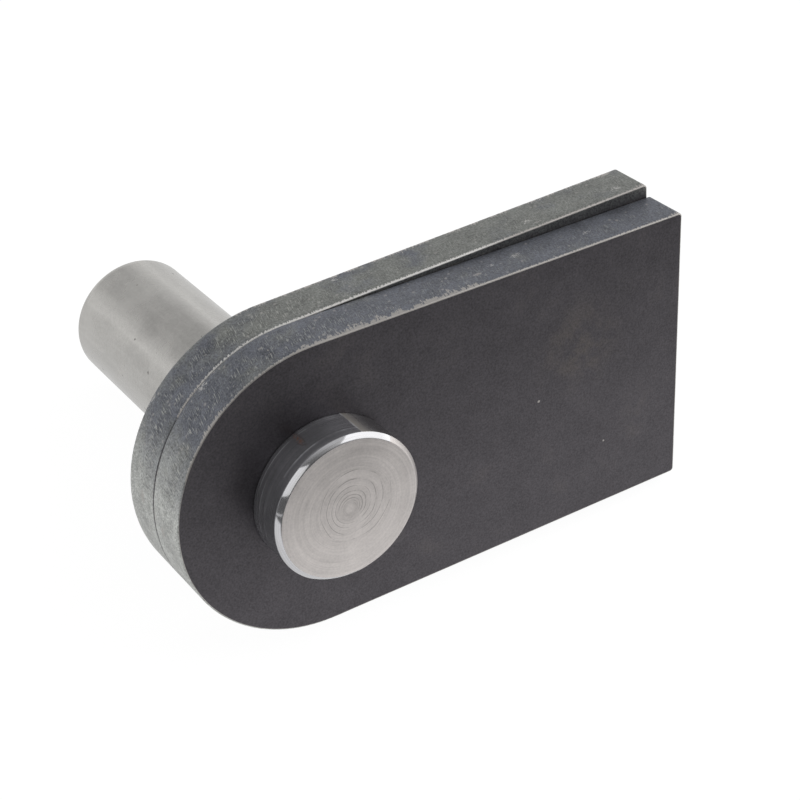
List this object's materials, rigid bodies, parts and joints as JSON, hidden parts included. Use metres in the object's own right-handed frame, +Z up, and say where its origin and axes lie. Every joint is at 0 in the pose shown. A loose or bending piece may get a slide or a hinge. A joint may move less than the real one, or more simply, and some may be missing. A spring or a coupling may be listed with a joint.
{
  "type": "cylinder mount",
  "caption": "Weld-on cylinder mount: like round-ended steel plates hang loose on a headed steel pin whose free shank takes the cylinder's eye.",
  "frame": {"origin": "on the pin's axis, halfway along its free shank, where the centre of the cylinder's eye sits", "axes": "+X along the level rear plate towards its square weld end, +Y away from the pin's head, +Z up from the table. The part lies as it comes to rest, tipped back by 15.86 degrees about X onto the tip of its shank, so the pin points along (0, 0.9619, -0.2732)"},
  "size_m": [0.1921, 0.1544, 0.1061],
  "materials": {
    "plate_steel": "dark mill scale on the flats, grey cut edges worn bright along their corners",
    "pin_steel": "turned bare steel, satin shank and head face, bright chamfer"
  },
  "bodies": {
    "rear_plate": {"rear_plate": "plate_steel"},
    "pin": {"pin": "pin_steel"},
    "front_plate": {"front_plate": "plate_steel"}
  },
  "joints": [
    {"name": "pin_slide", "type": "slide", "parent": "rear_plate", "child": "pin", "axis": [0, -0.9619, 0.2732], "range_m": [0, 0.1]},
    {"name": "front_plate_turn", "type": "hinge", "parent": "pin", "child": "front_plate", "pos_m": [0, -0.07187, 0.02041], "axis": [0, -0.9619, 0.2732], "continuous": true}
  ]
}
